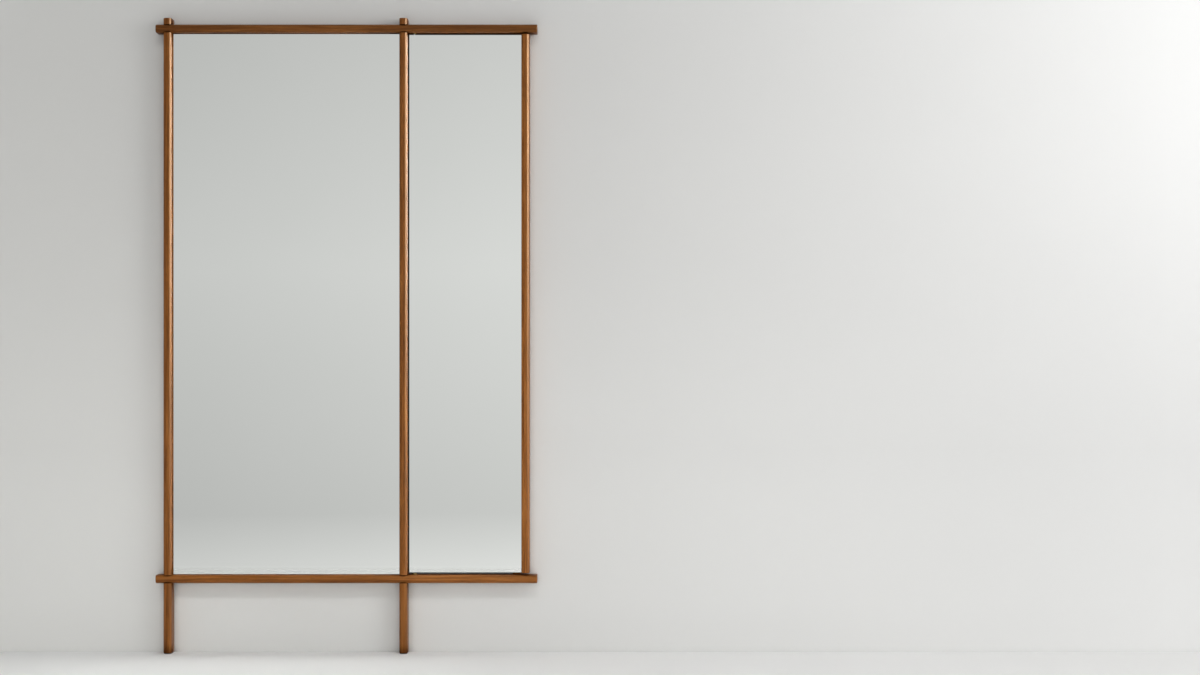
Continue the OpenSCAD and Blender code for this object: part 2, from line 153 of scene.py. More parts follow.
def bar_rings(span, width, depth, rounds, cuts=(), shelf=0.0, eased=(END_ROUND, END_ROUND)):
    """A bar as a stack of outlines (u, v, t). Each end is eased by a quarter circle of radius R:
    at the angle a the outline is drawn in by R (1 - sin a) and lies R (1 - cos a) from the tip.
    Each of cuts is (t0, t1, f), where f maps the outline's points and mask to the notched
    outline between t0 and t1; both outlines are there at t0 and at t1."""
    start, end = span
    tip = [(1 - math.cos(a), 1 - math.sin(a)) for a in np.radians(np.linspace(0, 90, TIP_STEPS))]
    stations = [(start + eased[0] * in_from, eased[0] * drawn_in, HAIR) for in_from, drawn_in in tip]
    for t in sorted({t for cut in cuts for t in cut[:2] if start < t < end}):
        stations += [(t, 0.0, -HAIR), (t, 0.0, HAIR)]
    stations += [(end - eased[1] * in_from, eased[1] * drawn_in, -HAIR) for in_from, drawn_in in tip[::-1]]
    rings = []
    for t, inset, step in stations:
        radii = [max(r - inset, LEAST_ROUND) for r in rounds]
        points, behind = bar_section(width - 2 * inset, depth - 2 * inset, radii, shelf)
        for low, high, cut in cuts:
            if low < t + step < high:
                points = cut(points.copy(), behind)
        rings.append(np.column_stack([points, np.full(len(points), t)]))
    return np.array(rings)


def front_notch(points, behind):
    """Everything in front of the lap plane is pushed back to it: v = max(v, LAP_Y)."""
    points[:, 1] = np.maximum(points[:, 1], LAP_Y)
    return points


def rebate(side, depth):
    """A cut that stops the part behind the shelf short of one side by depth."""
    def cut(points, behind):
        limit = BAR_W / 2 - depth
        held = np.minimum(points[:, 0], limit) if side > 0 else np.maximum(points[:, 0], -limit)
        points[:, 0] = np.where(behind, held, points[:, 0])
        return points
    return cut


def lofted(name, rings, axes="xyz", at=(0, 0, 0)):
    """A closed mesh through a stack of rings of equal length, capped at both ends. axes says
    which object axis the rings' u, v and t run along."""
    count, size = rings.shape[:2]
    points = np.zeros((count * size, 3))
    for column, axis in enumerate(axes):
        points[:, "xyz".index(axis)] = rings.reshape(-1, 3)[:, column]
    points += np.array(at)
    i = np.arange(count * size).reshape(count, size)
    nxt = np.roll(i, -1, axis=1)
    quads = np.stack([i[:-1], nxt[:-1], nxt[1:], i[1:]], -1).reshape(-1, 4)
    faces = quads.tolist() + [i[0, ::-1].tolist(), i[-1].tolist()]
    mesh = bpy.data.meshes.new(name)
    mesh.from_pydata(points.tolist(), [], faces)
    shell = bmesh.new()
    shell.from_mesh(mesh)
    bmesh.ops.remove_doubles(shell, verts=shell.verts, dist=WELD)
    bmesh.ops.recalc_face_normals(shell, faces=shell.faces)
    shell.to_mesh(mesh)
    shell.free()
    piece = bpy.data.objects.new(name, mesh)
    bpy.context.scene.collection.objects.link(piece)
    return piece


def turned(profile, at, axis, sign):
    """A solid of revolution: rings of radius r at the distance d from at, along sign times an
    axis, for each (r, d) of the profile."""
    a = np.radians(np.arange(0, 360, TURN_STEP_DEG))
    r, d = np.array(profile, float).T
    along = np.repeat(sign * d[:, None], len(a), 1)
    rings = np.stack([r[:, None] * np.cos(a), r[:, None] * np.sin(a), along], -1)
    axes = {"x": "yzx", "y": "zxy", "z": "xyz"}[axis]
    return lofted("cutter", rings, axes, at)


def screw_seat(at, radius, axis, sign):
    """The countersink for a screw: a cone from the head's radius down to the shank's."""
    head = radius * HEAD_RATIO
    sink = HEAD_SHARE * 2 * head
    return turned([(head + HOLE_PLAY, -OVERCUT), (head + HOLE_PLAY, 0), (radius, sink)], at, axis, sign)


def carve(piece, cutters):
    """Takes the cutters out of the piece, one after another, and removes them."""
    for cutter in cutters:
        step = piece.modifiers.new("cut", "BOOLEAN")
        step.operation, step.solver, step.object = "DIFFERENCE", "EXACT", cutter
        carved = bpy.data.meshes.new_from_object(piece.evaluated_get(bpy.context.evaluated_depsgraph_get()))
        piece.modifiers.clear()
        piece.data = carved
        bpy.data.objects.remove(cutter)
    return piece


def smooth(piece, angle_deg=35):
    """Rounds shade as rounds and flats as flats: edges over the angle are sharp, and the normals
    are weighted by face area."""
    mesh = piece.data
    mesh.shade_smooth()
    mesh.set_sharp_from_angle(angle=math.radians(angle_deg))
    step = piece.modifiers.new("even normals", "WEIGHTED_NORMAL")
    step.keep_sharp = True
    return piece


def link(tree, source, socket):
    """Joins one node's output to another's input."""
    tree.links.new(source, socket)


def noise(tree, coords, scale, stretch, detail=3.0, rough=0.55):
    """A noise value whose pattern is drawn out along an axis by scaling the coordinates."""
    mapping = tree.nodes.new("ShaderNodeMapping")
    mapping.inputs["Scale"].default_value = stretch
    link(tree, coords, mapping.inputs["Vector"])
    node = tree.nodes.new("ShaderNodeTexNoise")
    node.inputs["Scale"].default_value = scale
    node.inputs["Detail"].default_value = detail
    node.inputs["Roughness"].default_value = rough
    link(tree, mapping.outputs["Vector"], node.inputs["Vector"])
    return node.outputs["Fac"]


def ramp(tree, value, stops):
    """Colours between stops, each (place, (r, g, b))."""
    node = tree.nodes.new("ShaderNodeValToRGB")
    elements = node.color_ramp.elements
    elements.remove(elements[1])
    elements[0].position, elements[0].color = stops[0][0], (*stops[0][1], 1)
    for place, colour in stops[1:]:
        elements.new(place).color = (*colour, 1)
    link(tree, value, node.inputs["Fac"])
    return node.outputs["Color"]


def spread(tree, value, low, high, to_low, to_high):
    """The value's range from low to high, mapped to another range and held at its ends."""
    node = tree.nodes.new("ShaderNodeMapRange")
    for socket, number in (("From Min", low), ("From Max", high), ("To Min", to_low), ("To Max", to_high)):
        node.inputs[socket].default_value = number
    link(tree, value, node.inputs["Value"])
    return node.outputs["Result"]


def mixed(tree, kind, factor, a, b):
    """Two colours mixed: the factor and b may be numbers, colours or sockets."""
    node = tree.nodes.new("ShaderNodeMix")
    node.data_type, node.blend_type = "RGBA", kind
    for socket, source in ((node.inputs[0], factor), (node.inputs[6], a), (node.inputs[7], b)):
        if isinstance(source, bpy.types.NodeSocket):
            link(tree, source, socket)
        else:
            socket.default_value = source if isinstance(source, float) else (*source, 1)
    return node.outputs[2]


def tone_colour(tree, value):
    """A grey of the value, to multiply a colour by."""
    node = tree.nodes.new("ShaderNodeCombineColor")
    for channel in ("Red", "Green", "Blue"):
        link(tree, value, node.inputs[channel])
    return node.outputs["Color"]


def toned(tree, share, colour, value, low, high, to_low, to_high):
    """The colour times a grey, which follows the value: its range from low to high becomes a
    grey from to_low to to_high. A share below 1 weakens this."""
    grey = tone_colour(tree, spread(tree, value, low, high, to_low, to_high))
    return mixed(tree, "MULTIPLY", share, colour, grey)


def parts_of(tree, vector):
    """The X, Y and Z of a vector, by name."""
    split = tree.nodes.new("ShaderNodeSeparateXYZ")
    link(tree, vector, split.inputs["Vector"])
    return split.outputs


def new_finish(name):
    """A new material, its nodes, its shader and the coordinates on the piece."""
    material = bpy.data.materials.new(name)
    material.use_nodes = True
    tree = material.node_tree
    place = tree.nodes.new("ShaderNodeTexCoord").outputs["Object"]
    return material, tree, tree.nodes["Principled BSDF"], place


def relief(tree, shader, height, strength, distance):
    """Tilts the surface by the slope of a height from 0 to 1, which stands for a distance in
    metres."""
    bump = tree.nodes.new("ShaderNodeBump")
    bump.inputs["Strength"].default_value = strength
    bump.inputs["Distance"].default_value = distance
    link(tree, height, bump.inputs["Height"])
    link(tree, bump.outputs["Normal"], shader.inputs["Normal"])


def math_node(tree, operation, a, b=None):
    """One step of arithmetic on one or two numbers or sockets."""
    node = tree.nodes.new("ShaderNodeMath")
    node.operation = operation
    for socket, source in zip(node.inputs, (a, b)):
        if isinstance(source, bpy.types.NodeSocket):
            link(tree, source, socket)
        elif source is not None:
            socket.default_value = source
    return node.outputs["Value"]


NOOK_REACH = 40 * MM


def openness(tree):
    """How much of what lies round a point is open, within NOOK_REACH: 1 in the open, 0 inside."""
    node = tree.nodes.new("ShaderNodeAmbientOcclusion")
    node.samples = 6
    node.inputs["Distance"].default_value = NOOK_REACH
    return node.outputs["AO"]


def nook(tree, place):
    """Near 0.5 in the corners where the wood meets the glass, 1 in the open; it sets where shade
    is painted on the wood. All that lies behind the glass counts as open, because the wall is close to it."""
    rear = math_node(tree, "GREATER_THAN", parts_of(tree, place)["Y"], GLASS[1].y)
    return math_node(tree, "MAXIMUM", openness(tree), rear)


WOOD_DARK = (0.115, 0.034, 0.006)
WOOD_MID = (0.235, 0.078, 0.016)
WOOD_LIGHT = (0.36, 0.14, 0.036)
PORE = (0.035, 0.010, 0.003)
RING_SCALE = 34.0
RING_WANDER = 0.016
PORE_DEPTH = 0.4 * MM
OIL_TINT = (1.0, 0.70, 0.42, 1)
OIL_SHINE = 0.24
NOISE_RANGE = (0.3, 0.7)


def oiled_wood(name, along, seed, tone=1.0):
    """Straight-grained oiled wood as a solid texture. The growth rings are cylinders round a pith
    that lies beside the bar, along its length; noise drawn out along the grain makes the ring
    edges wander, gives the long tone streaks and opens short dark pores. Shade is painted into
    its colour and sheen in the corners where it meets the glass."""
    material, tree, shader, place = new_finish(name)
    turn = tree.nodes.new("ShaderNodeMapping")
    turn.inputs["Rotation"].default_value = {"z": (0, 0, 0), "x": (0, math.radians(90), 0)}[along]
    rng = np.random.default_rng(seed)
    turn.inputs["Location"].default_value = tuple(rng.uniform(-3, 3, 3))
    link(tree, place, turn.inputs["Vector"])
    grain = turn.outputs["Vector"]

    wander = noise(tree, grain, 9.0, (1, 1, 0.16), detail=2)
    shift = tree.nodes.new("ShaderNodeVectorMath")
    shift.operation = "SCALE"
    link(tree, spread(tree, wander, 0, 1, -RING_WANDER, RING_WANDER), shift.inputs["Scale"])
    shift.inputs[0].default_value = (1, 0.6, 0)
    bent = tree.nodes.new("ShaderNodeVectorMath")
    bent.operation = "ADD"
    link(tree, grain, bent.inputs[0])
    link(tree, shift.outputs["Vector"], bent.inputs[1])

    rings = tree.nodes.new("ShaderNodeTexWave")
    rings.wave_type, rings.rings_direction, rings.wave_profile = "RINGS", "Z", "SAW"
    rings.inputs["Scale"].default_value = RING_SCALE
    rings.inputs["Distortion"].default_value = 1.2
    rings.inputs["Detail"].default_value = 2.0
    rings.inputs["Detail Scale"].default_value = 0.6
    link(tree, bent.outputs["Vector"], rings.inputs["Vector"])

    streaks = noise(tree, bent.outputs["Vector"], 170.0, (1, 1, 0.022), detail=5, rough=0.6)
    broad = noise(tree, grain, 22.0, (1, 1, 0.09), detail=2)
    pores = noise(tree, grain, 1150.0, (1, 1, 0.035), detail=2)
    flecks = noise(tree, grain, 420.0, (1, 1, 0.07), detail=3)

    colour = ramp(tree, streaks, [(0.3, WOOD_DARK), (0.5, WOOD_MID), (0.72, WOOD_LIGHT)])
    colour = toned(tree, 0.65, colour, rings.outputs["Fac"], 0, 1, 1.12, 0.76)
    colour = toned(tree, 0.8, colour, broad, *NOISE_RANGE, 0.84, 1.14)
    colour = toned(tree, 0.5, colour, flecks, 0.35, 0.65, 0.8, 1.18)
    # tone makes the whole piece lighter or darker; on the rails it is painted light.
    colour = mixed(tree, "MULTIPLY", 1.0, colour, (tone, tone, tone))
    open_pore = spread(tree, pores, 0.36, 0.30, 0.0, 0.7)
    colour = mixed(tree, "MIX", open_pore, colour, PORE)
    # Painted shade: the colour darkens and the sheen drops in the corners where the wood meets the glass.
    painted_shade_openness = nook(tree, place)
    colour = toned(tree, 1.0, colour, painted_shade_openness, 0.6, 0.88, 0.3, 1.0)
    link(tree, colour, shader.inputs["Base Color"])

    link(tree, spread(tree, streaks, *NOISE_RANGE, 0.42, 0.32), shader.inputs["Roughness"])
    link(tree, spread(tree, painted_shade_openness, 0.68, 0.9, 0.0, OIL_SHINE), shader.inputs["Specular IOR Level"])
    shader.inputs["Specular Tint"].default_value = OIL_TINT
    relief(tree, shader, spread(tree, pores, 0.30, 0.42, 0.0, 1.0), 0.25, PORE_DEPTH)
    return material


def dress(piece, node, material):
    """The piece takes the CAD node's place, rides on its body and gets its material."""
    piece.data.materials.clear()
    piece.data.materials.append(material)
    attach(piece, frame["nodes"][node]["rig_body"])
    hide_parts(node)
    return piece


PLATE = {name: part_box(name) for name in ("left_keyhole_plate", "right_keyhole_plate")}
PLATE_ROUND = 3 * MM
KEYHOLE_R = 4.5 * MM
KEYHOLE_RISE = 11 * MM
POCKET_DEPTH = 14 * MM
POCKET_ROUND = KEYHOLE_R - 0.01 * MM


def plate_seat(plate):
    """Cutters for a keyhole plate's recess and for the pocket behind its keyhole."""
    low, high = plate
    middle = (low + high) / 2
    width = high.x - low.x + 2 * HOLE_PLAY
    height = high.z - low.z + 2 * HOLE_PLAY
    recess = bar_rings((low.y, high.y + OVERCUT), width, height, (PLATE_ROUND, PLATE_ROUND), eased=(0, 0))
    pocket = bar_rings((high.y - POCKET_DEPTH, high.y), 2 * KEYHOLE_R, KEYHOLE_RISE + 2 * KEYHOLE_R,
                       (POCKET_ROUND, POCKET_ROUND), eased=(0, 0))
    return [lofted("cutter", recess, "xzy", (middle.x, 0, middle.z)),
            lofted("cutter", pocket, "xzy", (middle.x, 0, middle.z + KEYHOLE_RISE / 2))]


def crossing_seats(x):
    """The countersinks of the two crossings' screws in the back of the post at x."""
    return [screw_seat((x, BAR_D / 2, (rail[0].z + rail[1].z) / 2), JOINT_SCREW_R, "y", -1)
            for rail in (TOP_RAIL, BOTTOM_RAIL)]


def make_post(node, plate, side, seed):
    """A post: two front notches for the rails, the rebate on one side, screw and plate seats."""
    low, high = POST[node]
    middle_x = (low.x + high.x) / 2
    reach = middle_x + side * BAR_W / 2
    edge = REBATE_X[0] if side > 0 else REBATE_X[1]
    cuts = [(rail[0].z, rail[1].z, front_notch) for rail in (BOTTOM_RAIL, TOP_RAIL)]
    cuts.append((*REBATE_Z, rebate(side, abs(reach - edge))))
    rings = bar_rings((low.z, high.z), BAR_W, BAR_D, BAR_ROUNDS, cuts, REBATE_Y, (FOOT_ROUND, END_ROUND))
    piece = lofted(node + "_bar", rings, "xyz", (middle_x, 0, 0))
    carve(piece, crossing_seats(middle_x) + plate_seat(PLATE[plate]))
    return dress(smooth(piece), node, oiled_wood(node + "_wood", "z", seed))


make_post("left_post", "left_keyhole_plate", 1, 3)
make_post("middle_post", "right_keyhole_plate", -1, 8)

# ---------------------------------------------------------------- top and bottom rail
# Two level bars of the same oiled wood and section, halved across their backs to lie flush
# with the posts and rebated for the fixed mirror. Their ends stand out past the posts and are
# sawn square with the edges eased. The top one is bored for the upper pivot.

PIVOT = frame["joints"][0]["pos_m"]
PIN_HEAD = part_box("upper_pivot_pin")
UPPER_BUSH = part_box("upper_pivot_bush")
HEAD_PLAY = 1 * MM
COUNTERBORE_R = (PIN_HEAD[1].x - PIN_HEAD[0].x) / 2 + HEAD_PLAY


def back_notch(points, behind):
    """Everything behind the lap plane is drawn forward to it: v = min(v, LAP_Y)."""
    points[:, 1] = np.minimum(points[:, 1], LAP_Y)
    return points


def make_rail(node, low, high, side, seed, seats, tone):
    """A rail: a back notch at each post, the rebate on one side, and its own seats."""
    middle_z = (low.z + high.z) / 2
    reach = middle_z + side * BAR_W / 2
    edge = REBATE_Z[0] if side > 0 else REBATE_Z[1]
    cuts = [(post[0].x, post[1].x, back_notch) for post in POST.values()]
    cuts.append((*REBATE_X, rebate(side, abs(reach - edge))))
    rings = bar_rings((low.x, high.x), BAR_W, BAR_D, BAR_ROUNDS, cuts, REBATE_Y)
    piece = lofted(node + "_bar", rings, "zyx", (0, 0, middle_z))
    carve(piece, seats)
    return dress(smooth(piece), node, oiled_wood(node + "_wood", "x", seed, tone))


counterbore_depth = TOP_RAIL[1].z - UPPER_BUSH[1].z
pin_seat = turned([(COUNTERBORE_R, -OVERCUT), (COUNTERBORE_R, 0), (COUNTERBORE_R, counterbore_depth)],
                  (PIVOT[0], PIVOT[1], TOP_RAIL[1].z), "z", -1)
# The last number is painted light: the top rail's wood is made darker and the bottom rail's lighter.
make_rail("top_rail", *TOP_RAIL, -1, 21, [pin_seat], 0.76)
make_rail("bottom_rail", *BOTTOM_RAIL, 1, 34, [], 1.12)

# ---------------------------------------------------------------- rear post
# A slim batten of the same wood against the wall, tenoned into both rails, that the closed
# wing rests on. Two magnets are let into its front, so it is bored there.

REAR_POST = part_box("rear_post")
BAY_Z = (BOTTOM_RAIL[1].z, TOP_RAIL[0].z)
REAR_ROUNDS = (3 * MM, 3 * MM)
TENON = (20 * MM, 4.5 * MM)
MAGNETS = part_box("catch_magnets")
MAGNET_R = (MAGNETS[1].x - MAGNETS[0].x) / 2
MAGNET_DEPTH = MAGNETS[1].y - MAGNETS[0].y
CATCH_Z = (MAGNETS[0].z + MAGNET_R, MAGNETS[1].z - MAGNET_R)


def tenon(points, behind):
    """The outline drawn in to the tenon's, as |u| and |v| no more than half its size."""
    half = np.array(TENON) / 2
    return np.clip(points, -half, half)


rear_middle = (REAR_POST[0] + REAR_POST[1]) / 2
rear_w = REAR_POST[1].x - REAR_POST[0].x
rear_d = REAR_POST[1].y - REAR_POST[0].y
rear_tenons = [(REAR_POST[0].z - OVERCUT, BAY_Z[0], tenon), (BAY_Z[1], REAR_POST[1].z + OVERCUT, tenon)]
rear_rings = bar_rings((REAR_POST[0].z, REAR_POST[1].z), rear_w, rear_d, REAR_ROUNDS, rear_tenons)
rear_post = lofted("rear_post_bar", rear_rings, "xyz", (rear_middle.x, rear_middle.y, 0))
magnet_seat = [(MAGNET_R + HOLE_PLAY, -OVERCUT), (MAGNET_R + HOLE_PLAY, MAGNET_DEPTH)]
carve(rear_post, [turned(magnet_seat, (rear_middle.x, REAR_POST[0].y, z), "y", 1) for z in CATCH_Z])
dress(smooth(rear_post), "rear_post", oiled_wood("rear_post_wood", "z", 55, 0.85))

# ---------------------------------------------------------------- fixed mirror and wing mirror
# Panes of 4 mm float glass, silvered on the back, with a ground edge and small arrises all
# round. The fixed one lies in the rebate of the bars; the wing's stands free on three sides.

ARRIS = 0.8 * MM
PANE_SHARP_DEG = 20
FACING = 0.999


def two_tone(tree, marks, dark, light):
    """From dark to light over the range that a noise value mostly keeps to."""
    return ramp(tree, marks, [(NOISE_RANGE[0], dark), (NOISE_RANGE[1], light)])


def silver():
    """Silvered glass: a pale green-grey mirror with a breath of haze and the very slight
    waviness of float glass."""
    material, tree, shader, place = new_finish("silvered_glass")
    shader.inputs["Metallic"].default_value = 1.0
    haze = noise(tree, place, 3.0, (1, 1, 1), detail=3)
    tint = two_tone(tree, haze, (0.862, 0.882, 0.852), (0.872, 0.890, 0.862))
    link(tree, tint, shader.inputs["Base Color"])
    link(tree, spread(tree, haze, *NOISE_RANGE, 0.004, 0.014), shader.inputs["Roughness"])
    relief(tree, shader, noise(tree, place, 1.6, (1, 1, 1), detail=1), 0.02, 1 * MM)
    return material


def ground_edge():
    """The ground edge of a pane: deep green, satin, with fine marks of the grinding wheel."""
    material, tree, shader, place = new_finish("ground_edge")
    marks = noise(tree, place, 900.0, (1, 1, 0.4), detail=3)
    green = two_tone(tree, marks, (0.020, 0.045, 0.036), (0.050, 0.090, 0.075))
    link(tree, green, shader.inputs["Base Color"])
    link(tree, spread(tree, marks, *NOISE_RANGE, 0.22, 0.42), shader.inputs["Roughness"])
    shader.inputs["IOR"].default_value = 1.52
    relief(tree, shader, marks, 0.2, 0.1 * MM)
    return material


def back_paint():
    """The grey paint that protects the silver, with the faint cloudiness of a sprayed coat."""
    material, tree, shader, place = new_finish("back_paint")
    clouds = noise(tree, place, 24.0, (1, 1, 1), detail=4)
    grey = two_tone(tree, clouds, (0.12, 0.135, 0.14), (0.17, 0.185, 0.19))
    link(tree, grey, shader.inputs["Base Color"])
    link(tree, spread(tree, clouds, *NOISE_RANGE, 0.5, 0.62), shader.inputs["Roughness"])
    return material


PANE_MATERIALS = [silver(), ground_edge(), back_paint()]
SILVER_SIDE, EDGE, PAINT_SIDE = range(3)


def make_pane(node):
    """A pane with the size of its node: the front face is silver, the back paint, the rest edge."""
    low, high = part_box(node)
    middle = (low + high) / 2
    width, depth = high.x - low.x, high.y - low.y
    rings = bar_rings((low.z, high.z), width, depth, (ARRIS, ARRIS), eased=(ARRIS, ARRIS))
    pane = lofted(node + "_pane", rings, "xyz", (middle.x, middle.y, 0))
    smooth(pane, PANE_SHARP_DEG)
    dress(pane, node, PANE_MATERIALS[SILVER_SIDE])
    for material in PANE_MATERIALS[1:]:
        pane.data.materials.append(material)
    normals = np.zeros(len(pane.data.polygons) * 3)
    pane.data.polygons.foreach_get("normal", normals)
    facing = normals.reshape(-1, 3)[:, 1]
    kinds = np.where(facing < -FACING, SILVER_SIDE, np.where(facing > FACING, PAINT_SIDE, EDGE))
    pane.data.polygons.foreach_set("material_index", kinds.astype(np.int32))
    return pane


make_pane("fixed_mirror_glass")
make_pane("wing_mirror_glass")

# ---------------------------------------------------------------- backing board and battens
# A sheet of hardboard behind the fixed mirror, and four square-edged battens of the same wood
# as the bars that press it home. They are screwed sideways into the bars, heads countersunk.

BATTEN_SCREWS = {"left_batten": ("x", 1, -1), "right_batten": ("x", 0, 1),
                 "top_batten": ("z", 0, 1), "bottom_batten": ("z", 1, -1)}
SCREWS_UP = np.linspace(308, 1894, 5) * MM
SCREWS_ACROSS = np.linspace(-482, 98, 3) * MM
EASED = 0.8 * MM


def hardboard():
    """Pressed brown hardboard: fine felted fibres in all directions and a mottled tone."""
    material, tree, shader, place = new_finish("hardboard")
    fibres = noise(tree, place, 420.0, (1, 1, 0.3), detail=4, rough=0.7)
    cross = noise(tree, place, 420.0, (0.3, 1, 1), detail=4, rough=0.7)
    mottle = noise(tree, place, 18.0, (1, 1, 1), detail=3)
    upright = two_tone(tree, fibres, (0.25, 0.165, 0.090), (0.42, 0.295, 0.175))
    level = two_tone(tree, cross, (0.26, 0.17, 0.095), (0.40, 0.28, 0.165))
    colour = mixed(tree, "MIX", 0.5, upright, level)
    colour = toned(tree, 0.7, colour, mottle, *NOISE_RANGE, 0.82, 1.15)
    link(tree, colour, shader.inputs["Base Color"])
    link(tree, spread(tree, fibres, *NOISE_RANGE, 0.62, 0.8), shader.inputs["Roughness"])
    relief(tree, shader, fibres, 0.3, 0.2 * MM)
    return material


def make_board(node, along, material, cutters=(), eased=EASED):
    """A board with the size of its node, its length along x or z and its edges eased."""
    low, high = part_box(node)
    middle = (low + high) / 2
    if along == "z":
        span, width, axes, at = (low.z, high.z), high.x - low.x, "xyz", (middle.x, middle.y, 0)
    else:
        span, width, axes, at = (low.x, high.x), high.z - low.z, "zyx", (0, middle.y, middle.z)
    rings = bar_rings(span, width, high.y - low.y, (eased, eased), eased=(eased, eased))
    board = carve(lofted(node + "_board", rings, axes, at), cutters)
    return dress(smooth(board), node, material)


def batten_seats(node):
    """The countersinks in a batten's inner side, halfway through its depth."""
    axis, inner, sign = BATTEN_SCREWS[node]
    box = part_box(node)
    y = (box[0].y + box[1].y) / 2
    if axis == "x":
        return [screw_seat((box[inner].x, y, z), SMALL_SCREW_R, "x", sign) for z in SCREWS_UP]
    return [screw_seat((x, y, box[inner].z), SMALL_SCREW_R, "z", sign) for x in SCREWS_ACROSS]


make_board("fixed_backing_board", "z", hardboard())
for index, node in enumerate(BATTEN_SCREWS):
    along = "z" if BATTEN_SCREWS[node][0] == "x" else "x"
    make_board(node, along, oiled_wood(node + "_wood", along, 60 + index), cutters=batten_seats(node))

# ---------------------------------------------------------------- wing stile
# The deep bar at the wing's free edge, of the same section as the posts. A groove along its
# inner side holds the edge of the wing's glass and of the frame behind it.

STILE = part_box("wing_stile")
WING_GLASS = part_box("wing_mirror_glass")
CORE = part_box("wing_hinge_stile")
GROOVE_ROUND = 0.2 * MM

stile_middle = (STILE[0].x + STILE[1].x) / 2
stile_rings = bar_rings((STILE[0].z, STILE[1].z), BAR_W, BAR_D, BAR_ROUNDS)
stile = lofted("wing_stile_bar", stile_rings, "xyz", (stile_middle, 0, 0))
groove_depth = WING_GLASS[1].x - STILE[0].x
groove_w = CORE[1].y - WING_GLASS[0].y
groove = bar_rings((STILE[0].z - OVERCUT, STILE[1].z + OVERCUT), 2 * groove_depth, groove_w,
                   (GROOVE_ROUND, GROOVE_ROUND), eased=(0, 0))
carve(stile, [lofted("cutter", groove, "xyz", (STILE[0].x, (CORE[1].y + WING_GLASS[0].y) / 2, 0))])
dress(smooth(stile), "wing_stile", oiled_wood("wing_stile_wood", "z", 89, 1.2))

# ---------------------------------------------------------------- frame behind the wing's glass
# Thin flat stiles and rails of the same wood, glued to the glass, with a veneered panel in
# their groove. The magnets' steel discs are let flush into the inner stile.

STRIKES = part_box("catch_strikes")
STRIKE_R = (STRIKES[1].x - STRIKES[0].x) / 2
strike_x = (STRIKES[0].x + STRIKES[1].x) / 2
strike_t = STRIKES[1].y - STRIKES[0].y
strike_seat = [(STRIKE_R + HOLE_PLAY, -OVERCUT), (STRIKE_R + HOLE_PLAY, strike_t)]
strike_seats = [turned(strike_seat, (strike_x, STRIKES[1].y, z), "y", -1) for z in CATCH_Z]
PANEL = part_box("wing_back_panel")
PANEL_ROUND = 0.1 * MM
WING_FRAME_EASED = 0.5 * MM


def panel_groove():
    """The groove that the panel's edges run in, as a cutter of the panel's own size."""
    low, high = PANEL
    middle = (low + high) / 2
    width, depth = high.x - low.x, high.y - low.y
    rings = bar_rings((low.z, high.z), width, depth, (PANEL_ROUND, PANEL_ROUND), eased=(0, 0))
    return lofted("cutter", rings, "xyz", (middle.x, middle.y, 0))


for index, (node, along) in enumerate([("wing_hinge_stile", "z"), ("wing_inner_stile", "z"),
                                       ("wing_top_rail", "x"), ("wing_bottom_rail", "x")]):
    seats = [panel_groove()] + (strike_seats if node == "wing_inner_stile" else [])
    wood = oiled_wood(node + "_wood", along, 70 + index)
    make_board(node, along, wood, cutters=seats, eased=WING_FRAME_EASED)
make_board("wing_back_panel", "z", oiled_wood("panel_veneer", "z", 77, 1.1))

# ---------------------------------------------------------------- feet and felt bumpers
# Pressed wool felt: a pad glued under each post, and three thin discs where the wing closes
# on the rear post.


def felt():
    """Dark pressed felt: matt matted fibres with a soft sheen at grazing light."""
    material, tree, shader, place = new_finish("pressed_felt")
    fibres = noise(tree, place, 1400.0, (1, 0.5, 1), detail=4, rough=0.7)
    dark_brown = two_tone(tree, fibres, (0.018, 0.014, 0.011), (0.055, 0.043, 0.035))
    link(tree, dark_brown, shader.inputs["Base Color"])
    shader.inputs["Roughness"].default_value = 0.95
    shader.inputs["Sheen Weight"].default_value = 0.3
    relief(tree, shader, fibres, 0.6, 0.3 * MM)
    return material


def finish_nodes(material, *nodes):
    """The CAD nodes keep their shape and get the material."""
    for node in nodes:
        for slot in frame["nodes"][node].material_slots:
            slot.material = material


finish_nodes(felt(), "left_foot_pad", "middle_foot_pad", "felt_bumpers")

# ---------------------------------------------------------------- screws, plates, pins, strikes
# Zinc-plated steel: stamped keyhole plates, countersunk screws, pivot pins turned from rod
# and the magnets' steel discs.


def in_shade(tree, colour):
    """The colour with painted shade: darker where other pieces close in on it."""
    return toned(tree, 1.0, colour, openness(tree), 0.35, 0.9, 0.12, 1.0)


def metal(name, dark, light, scale, stretch, rough, bump_strength=0.1, painted_gap_shade=False):
    """A worked metal: noise drawn out along the tool's path tints it and varies its gloss. One
    that sits in a narrow gap can be given painted shade there."""
    material, tree, shader, place = new_finish(name)
    shader.inputs["Metallic"].default_value = 1.0
    marks = noise(tree, place, scale, stretch, detail=4, rough=0.65)
    colour = two_tone(tree, marks, dark, light)
    link(tree, in_shade(tree, colour) if painted_gap_shade else colour, shader.inputs["Base Color"])
    link(tree, spread(tree, marks, *NOISE_RANGE, *rough), shader.inputs["Roughness"])
    relief(tree, shader, marks, bump_strength, 0.1 * MM)
    return material


zinc = metal("zinc_plate", (0.42, 0.43, 0.44), (0.66, 0.66, 0.65), 500.0, (1, 1, 0.1), (0.38, 0.55))
finish_nodes(zinc, "batten_screws", "joint_screws", "plate_screws", "left_keyhole_plate",
             "right_keyhole_plate", "upper_pivot_pin", "lower_pivot_pin", "catch_strikes")

# ---------------------------------------------------------------- bushes, magnets, thrust washer
# Flanged bushes turned from brass, which the pivot pins run in, nickel-plated magnet discs let
# into the rear post, and a washer of natural nylon that the wing turns on.


